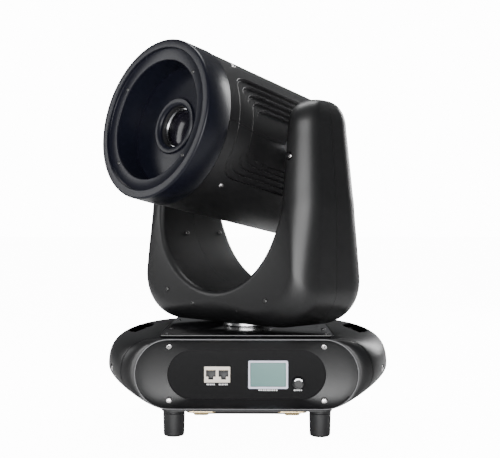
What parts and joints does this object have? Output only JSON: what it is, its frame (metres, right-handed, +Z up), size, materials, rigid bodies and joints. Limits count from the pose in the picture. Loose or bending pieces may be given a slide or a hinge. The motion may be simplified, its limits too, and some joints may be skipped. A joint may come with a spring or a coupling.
{
  "type": "moving head light",
  "caption": "Moving head stage light: lens-shaped base with a display, a panning yoke and a tilting round head with a deep hood and a small front lens.",
  "frame": {"origin": "on the pan axis, at the centre of the base pan's underside", "axes": "+Z up, -Y out of the front display panel, +X to the right seen from the front"},
  "size_m": [0.3739, 0.3341, 0.4966],
  "materials": {
    "black_plastic": "satin moulded",
    "gloss_black": "gloss",
    "hood_black": "satin paint",
    "black_metal": "powder coat",
    "rubber": "matte",
    "steel": "brushed",
    "chrome": "polished",
    "yellow_zinc": "yellow zinc plate",
    "aluminium": "milled",
    "circuit_board": "solder mask",
    "ivory_plastic": "semi gloss",
    "lavender_plastic": "semi gloss",
    "display_glass": "display window",
    "lens_glass": "coated lens"
  },
  "bodies": {
    "base": {"base_bottom_pan": "black_metal", "base_top_plate": "gloss_black", "base_left_shell": "black_plastic", "base_right_shell": "black_plastic", "base_front_frame": "black_plastic", "base_rear_frame": "black_plastic", "front_panel": "gloss_black", "rear_panel": "gloss_black", "display_frame": "lavender_plastic", "display_screen": "display_glass", "network_sockets": "ivory_plastic", "power_inlet": "black_plastic", "dmx_socket_in": "black_metal", "dmx_socket_out": "black_metal", "foot_front_left": "rubber", "foot_front_right": "rubber", "foot_rear_left": "rubber", "foot_rear_right": "rubber", "left_handle": "black_metal", "right_handle": "black_metal", "power_supply": "aluminium", "control_board": "circuit_board", "pan_post": "steel", "pan_collar": "chrome", "pan_pulley": "aluminium", "bracket_lock_front_left": "yellow_zinc", "bracket_lock_front_right": "yellow_zinc", "bracket_lock_rear_left": "yellow_zinc", "bracket_lock_rear_right": "yellow_zinc"},
    "yoke": {"yoke_frame": "steel", "yoke_front_cover": "black_plastic", "yoke_rear_cover": "black_plastic", "pan_bearing": "steel", "pan_motor": "black_metal", "pan_belt": "rubber", "tilt_motor": "black_metal", "tilt_belt": "rubber", "tilt_bearing_drive": "steel", "tilt_bearing_idle": "steel"},
    "head": {"head_hood": "hood_black", "head_upper_cover": "black_plastic", "head_lower_cover": "black_plastic", "head_rear_cover": "black_plastic", "head_chassis": "aluminium", "tilt_pulley": "aluminium", "lens_baffle": "hood_black", "lens_tube": "black_metal", "color_wheel_motor": "black_metal", "gobo_wheel_motor": "black_metal", "lamp_module": "aluminium", "fan_frame": "black_plastic"},
    "pan_motor_pulley": {"pan_motor_pulley": "aluminium"},
    "tilt_motor_pulley": {"tilt_motor_pulley": "aluminium"},
    "encoder_shaft": {"encoder_shaft": "steel"},
    "menu_knob": {"menu_knob": "black_plastic"},
    "focus_carriage": {"focus_carriage": "chrome", "front_lens": "lens_glass"},
    "color_wheel": {"color_wheel": "aluminium"},
    "gobo_wheel": {"gobo_wheel": "aluminium"},
    "fan_rotor": {"fan_rotor": "black_plastic"}
  },
  "joints": [
    {"name": "pan", "type": "hinge", "parent": "base", "child": "yoke", "pos_m": [0, 0, 0.12], "axis": [0, 0, 1], "range_deg": [-225, 315]},
    {"name": "tilt", "type": "hinge", "parent": "yoke", "child": "head", "pos_m": [0, 0, 0.3355], "axis": [0.7071, -0.7071, 0], "range_deg": [-204, 46]},
    {"name": "pan_motor_turn", "type": "hinge", "parent": "yoke", "child": "pan_motor_pulley", "pos_m": [0.06753, -0.06753, 0.1255], "axis": [0, 0, 1], "continuous": true},
    {"name": "tilt_motor_turn", "type": "hinge", "parent": "yoke", "child": "tilt_motor_pulley", "pos_m": [0.10041, -0.10041, 0.232], "axis": [0.7071, -0.7071, 0], "continuous": true},
    {"name": "menu_turn", "type": "hinge", "parent": "base", "child": "encoder_shaft", "pos_m": [0.0632, -0.1217, 0.0423], "axis": [0, -1, 0], "continuous": true},
    {"name": "menu_push", "type": "slide", "parent": "encoder_shaft", "child": "menu_knob", "axis": [0, 1, 0], "range_m": [0, 0.0015], "stiffness_N_per_m": 800, "springref_m": -0.0015},
    {"name": "focus", "type": "slide", "parent": "head", "child": "focus_carriage", "axis": [-0.6941, -0.6941, 0.1908], "range_m": [-0.022, 0.003]},
    {"name": "color_wheel_turn", "type": "hinge", "parent": "head", "child": "color_wheel", "pos_m": [-0.02036, -0.02036, 0.31054], "axis": [-0.6941, -0.6941, 0.1908], "continuous": true},
    {"name": "gobo_wheel_turn", "type": "hinge", "parent": "head", "child": "gobo_wheel", "pos_m": [-0.00671, -0.00671, 0.36791], "axis": [-0.6941, -0.6941, 0.1908], "continuous": true},
    {"name": "fan_spin", "type": "hinge", "parent": "head", "child": "fan_rotor", "pos_m": [0.05761, 0.05761, 0.31966], "axis": [-0.6941, -0.6941, 0.1908], "continuous": true}
  ],
  "couplings": [
    {"joint": "pan_motor_turn", "follows": "pan", "ratio": -5},
    {"joint": "tilt_motor_turn", "follows": "tilt", "ratio": 4}
  ]
}
